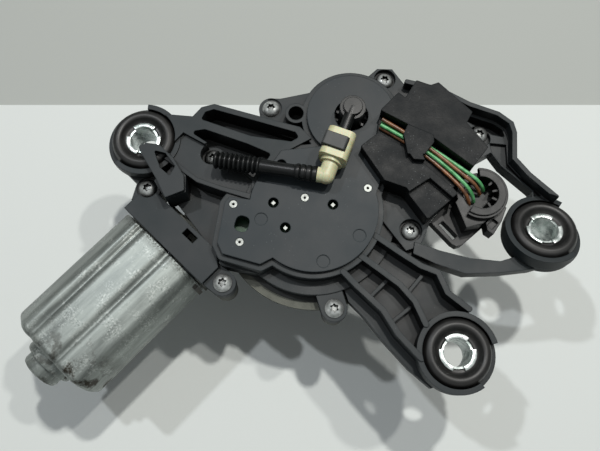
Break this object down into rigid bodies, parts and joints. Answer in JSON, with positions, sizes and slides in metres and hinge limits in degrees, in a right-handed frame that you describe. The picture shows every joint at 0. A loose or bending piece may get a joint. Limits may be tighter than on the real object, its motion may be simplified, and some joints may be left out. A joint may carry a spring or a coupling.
{
  "type": "wiper motor",
  "caption": "Rear window wiper motor: finned steel can, worm gearbox, moulded three-eye frame with rubber mounts, plug module, washer coupling and downward spindle.",
  "frame": {"origin": "On the spindle axis, on the journal where the spindle passes through the tailgate panel", "axes": "-Z along the spindle towards the wiper arm, +Z towards the cover seen in the picture, +X from the motor can towards the right eye, +Y up in the picture"},
  "size_m": [0.255, 0.1573, 0.0965],
  "materials": {
    "frame_plastic": "glass-filled moulded plastic, charcoal, satin",
    "cover_plastic": "moulded plastic, dark grey, satin",
    "module_plastic": "moulded plastic, black, fine texture",
    "socket_plastic": "moulded plastic, black, satin",
    "inner_plastic": "moulded plastic",
    "nozzle_plastic": "moulded plastic, black, semi-gloss",
    "hose_plastic": "extruded plastic, black",
    "coupling_plastic": "moulded plastic, cream",
    "clip_plastic": "moulded plastic, dark grey",
    "cast_aluminium": "die-cast, dull",
    "zinc_can": "zinc-plated steel, worn",
    "zinc_screws": "zinc-plated, bright",
    "zinc_sleeve": "zinc-plated, crystalline",
    "plain_steel": "machined",
    "lamination_steel": "stacked sheet",
    "ferrite": "sintered ferrite",
    "sintered_bronze": "sintered",
    "copper": "enamelled and turned copper",
    "carbon": "pressed carbon",
    "gear_nylon": "moulded polyamide, natural",
    "board_laminate": "glass-epoxy laminate",
    "tinned_contacts": "tinned",
    "gasket_rubber": "moulded",
    "mount_rubber": "moulded, matt",
    "green_insulation": "extruded",
    "brown_insulation": "extruded"
  },
  "bodies": {
    "root": {"housing_frame": "frame_plastic", "cover_plate": "cover_plastic", "gear_housing": "cast_aluminium", "housing_gasket": "gasket_rubber", "frame_screws": "zinc_screws", "module_screw": "zinc_screws", "circuit_board": "board_laminate", "board_posts": "inner_plastic", "contact_pins": "tinned_contacts", "board_rivets": "tinned_contacts", "board_parts": "inner_plastic", "motor_can": "zinc_can", "field_magnets": "ferrite", "end_bearing": "sintered_bronze", "front_bearing": "sintered_bronze", "thrust_screw": "plain_steel", "brush_holder": "inner_plastic", "carbon_brushes": "carbon", "brush_springs": "plain_steel", "wheel_pin": "plain_steel", "spindle_washer": "plain_steel", "spindle_bushes": "sintered_bronze", "spindle_seal": "mount_rubber", "left_grommet": "mount_rubber", "left_sleeve": "zinc_sleeve", "bottom_grommet": "mount_rubber", "bottom_sleeve": "zinc_sleeve", "right_grommet": "mount_rubber", "right_sleeve": "zinc_sleeve", "module_cover": "module_plastic", "connector_socket": "socket_plastic", "socket_terminals": "tinned_contacts", "green_wire_upper": "green_insulation", "brown_wire_upper": "brown_insulation", "green_wire_lower": "green_insulation", "brown_wire_lower": "brown_insulation"},
    "armature": {"armature_shaft": "plain_steel", "armature_core": "lamination_steel", "armature_windings": "copper", "commutator": "copper"},
    "worm_gear": {"worm_wheel": "gear_nylon", "crank_pin": "plain_steel"},
    "spindle": {"wiper_spindle": "plain_steel", "output_pinion": "plain_steel", "spindle_circlip": "plain_steel"},
    "link": {"swing_link": "plain_steel", "sector_pin": "plain_steel"},
    "rod": {"connecting_rod": "plain_steel"},
    "nozzle": {"water_nozzle": "nozzle_plastic", "nozzle_seal_ring": "gasket_rubber"},
    "coupling": {"hose_coupling": "coupling_plastic", "hose_tail": "hose_plastic", "washer_hose": "hose_plastic"},
    "clip": {"coupling_clip": "clip_plastic"}
  },
  "joints": [
    {"name": "armature_spin", "type": "hinge", "parent": "root", "child": "armature", "pos_m": [-0.0883, -0.0619, 0.03], "axis": [0.6896, 0.7242, 0], "continuous": true},
    {"name": "wheel_spin", "type": "hinge", "parent": "root", "child": "worm_gear", "pos_m": [-0.0181, -0.0464, 0.03], "axis": [0, 0, 1], "continuous": true},
    {"name": "spindle_swing", "type": "hinge", "parent": "root", "child": "spindle", "pos_m": [0, 0, 0.03], "axis": [0, 0, -1], "range_deg": [0, 110]},
    {"name": "link_swing", "type": "hinge", "parent": "root", "child": "link", "pos_m": [0, 0, 0.039], "axis": [0, 0, -1], "range_deg": [0, 41.92]},
    {"name": "rod_swing", "type": "hinge", "parent": "link", "child": "rod", "pos_m": [0.01897, -0.009, 0.036], "axis": [0, 0, -1], "range_deg": [-41.92, 0]},
    {"name": "nozzle_swivel", "type": "hinge", "parent": "root", "child": "nozzle", "pos_m": [0, 0, 0.058], "axis": [0, 0, 1], "range_deg": [-30, 2]},
    {"name": "coupling_swivel", "type": "hinge", "parent": "nozzle", "child": "coupling", "pos_m": [-0.0064, -0.01682, 0.0642], "axis": [0.3554, 0.9347, 0], "range_deg": [0, 60]},
    {"name": "clip_slide", "type": "slide", "parent": "coupling", "child": "clip", "axis": [-0.9347, 0.3554, 0], "range_m": [0, 0.002]}
  ],
  "couplings": [
    {"joint": "wheel_spin", "follows": "armature_spin", "ratio": 0.017857},
    {"joint": "link_swing", "follows": "spindle_swing", "ratio": 0.38095},
    {"joint": "rod_swing", "follows": "spindle_swing", "ratio": -0.38095}
  ]
}
